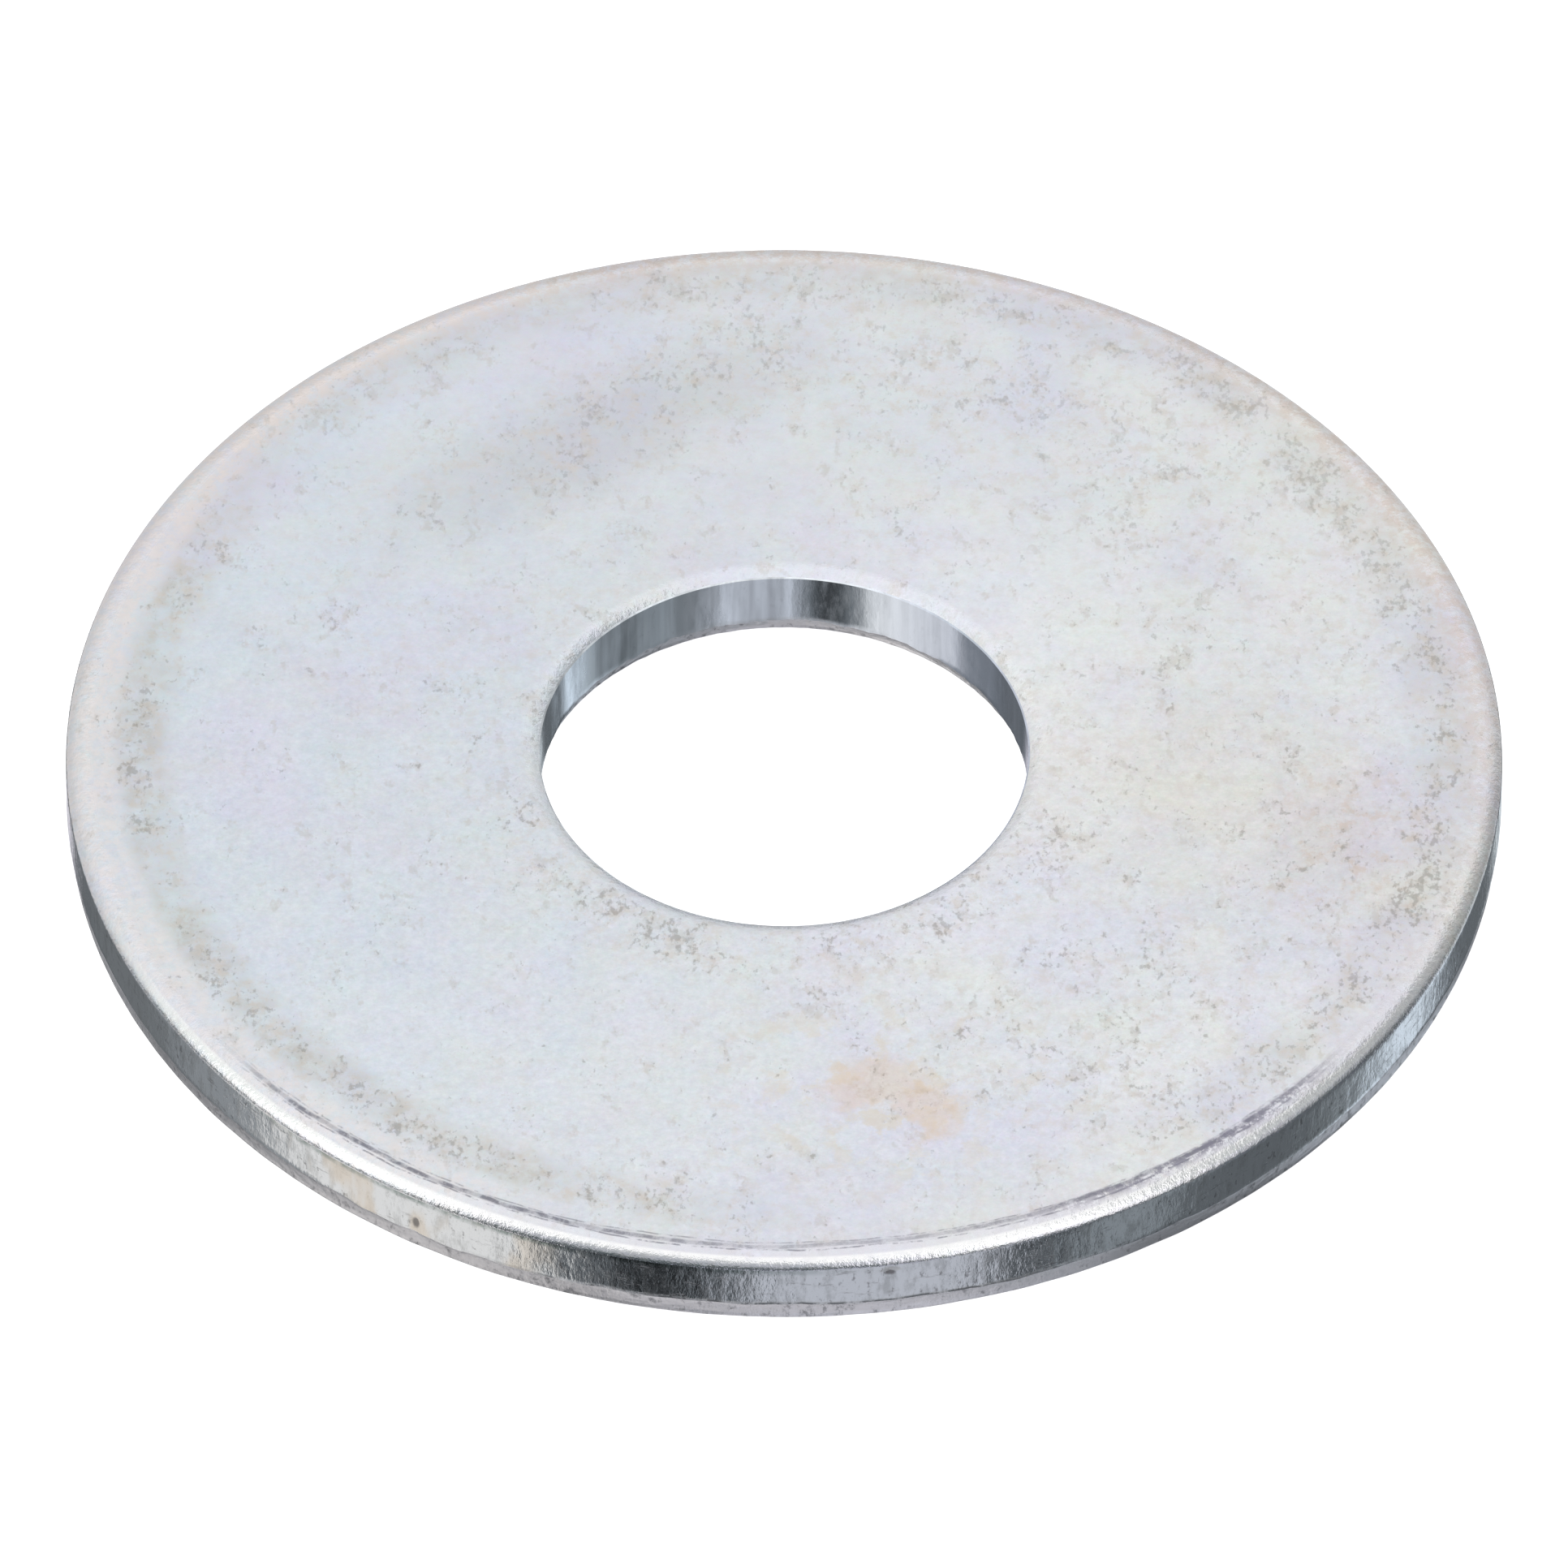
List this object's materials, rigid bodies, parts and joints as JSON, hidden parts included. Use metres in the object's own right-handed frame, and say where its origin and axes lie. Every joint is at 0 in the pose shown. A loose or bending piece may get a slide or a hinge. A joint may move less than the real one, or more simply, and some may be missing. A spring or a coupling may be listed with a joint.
{
  "type": "flat washer",
  "caption": "Flat round zinc-plated steel washer, wide for its hole, with rounded upper edges; spreads the load of a bolt head or nut.",
  "frame": {"origin": "centre of the hole, in the plane of the lower face, which is the side the cut broke out of", "axes": "+Z along the axis of the hole, out of the upper face, whose edges are rounded; X and Y are any two directions across the face"},
  "size_m": [0.05, 0.05, 0.0029],
  "materials": {
    "zinc_plate": "bright zinc plate over pickled strip, bluish silver, lightly mottled"
  },
  "bodies": {
    "root": {"flat_washer": "zinc_plate"}
  },
  "joints": []
}
